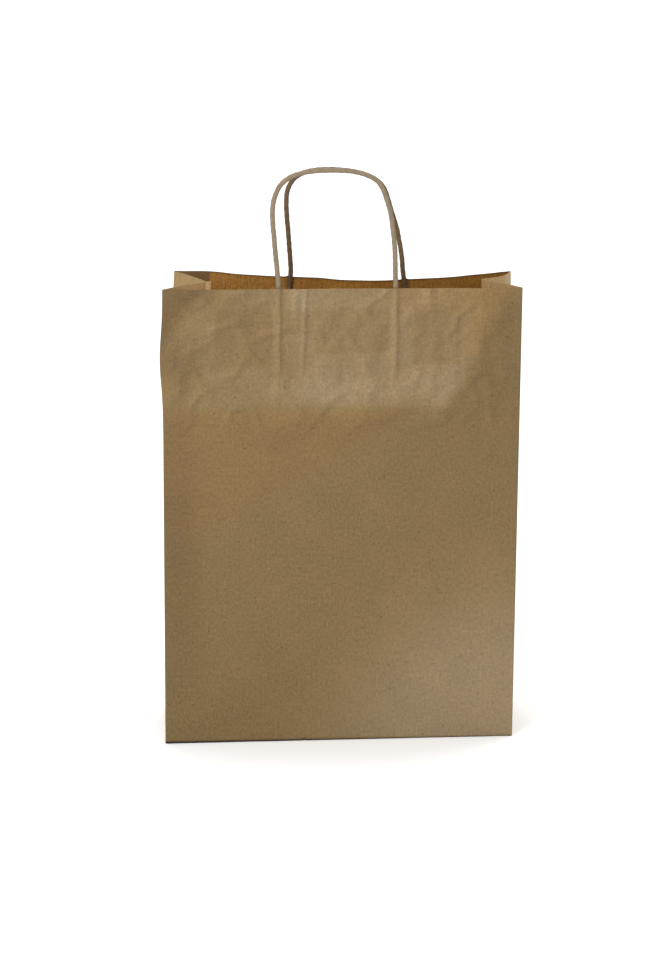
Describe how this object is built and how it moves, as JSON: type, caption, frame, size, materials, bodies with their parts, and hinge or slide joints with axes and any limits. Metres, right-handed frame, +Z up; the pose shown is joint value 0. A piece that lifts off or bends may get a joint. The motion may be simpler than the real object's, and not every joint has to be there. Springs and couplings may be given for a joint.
{
  "type": "gift bag",
  "caption": "Upright kraft paper carrier bag with folded side gussets, a flat glued base and twisted paper cord handles that swing.",
  "frame": {"origin": "middle of the base, on the surface that the bag stands on", "axes": "+Z up, the front panel faces -Y, +X to the right as seen from the front"},
  "size_m": [0.3256, 0.12, 0.5154],
  "materials": {
    "kraft_paper": "matte",
    "kraft_paper_inside": "matte",
    "twisted_paper_cord": "matte"
  },
  "bodies": {
    "base": {"bottom_left_tuck": "kraft_paper_inside", "bottom_right_tuck": "kraft_paper_inside", "bottom_front_flap": "kraft_paper", "bottom_back_flap": "kraft_paper", "left_gusset_front": "kraft_paper", "left_gusset_back": "kraft_paper", "right_gusset_front": "kraft_paper", "right_gusset_back": "kraft_paper"},
    "front": {"front_panel": "kraft_paper", "front_patch_outer": "kraft_paper_inside", "front_patch_inner": "kraft_paper_inside", "front_handle_legs": "twisted_paper_cord"},
    "back": {"back_panel": "kraft_paper", "side_seam_lap": "kraft_paper_inside", "back_patch_outer": "kraft_paper_inside", "back_patch_inner": "kraft_paper_inside", "back_handle_legs": "twisted_paper_cord"},
    "front_handle": {"front_handle_loop": "twisted_paper_cord"},
    "back_handle": {"back_handle_loop": "twisted_paper_cord"}
  },
  "joints": [
    {"name": "front_wall", "type": "hinge", "parent": "base", "child": "front", "pos_m": [0, -0.06, 0], "axis": [-1, 0, 0], "range_deg": [-1.6, 2], "stiffness_Nm_per_rad": 0.5, "deforming": ["left_gusset_front", "right_gusset_front"]},
    {"name": "back_wall", "type": "hinge", "parent": "base", "child": "back", "pos_m": [0, 0.06, 0], "axis": [1, 0, 0], "range_deg": [-1.6, 2], "stiffness_Nm_per_rad": 0.5, "deforming": ["left_gusset_back", "right_gusset_back"]},
    {"name": "front_handle_swing", "type": "hinge", "parent": "front", "child": "front_handle", "pos_m": [-0.0055, -0.0388, 0.41747], "axis": [1, 0, 0], "range_deg": [0, 135], "stiffness_Nm_per_rad": 0.01},
    {"name": "back_handle_swing", "type": "hinge", "parent": "back", "child": "back_handle", "pos_m": [0.0102, 0.01911, 0.418], "axis": [-1, 0, 0], "range_deg": [0, 135], "stiffness_Nm_per_rad": 0.01}
  ],
  "couplings": [
    {"joint": "back_wall", "follows": "front_wall", "ratio": 1}
  ]
}
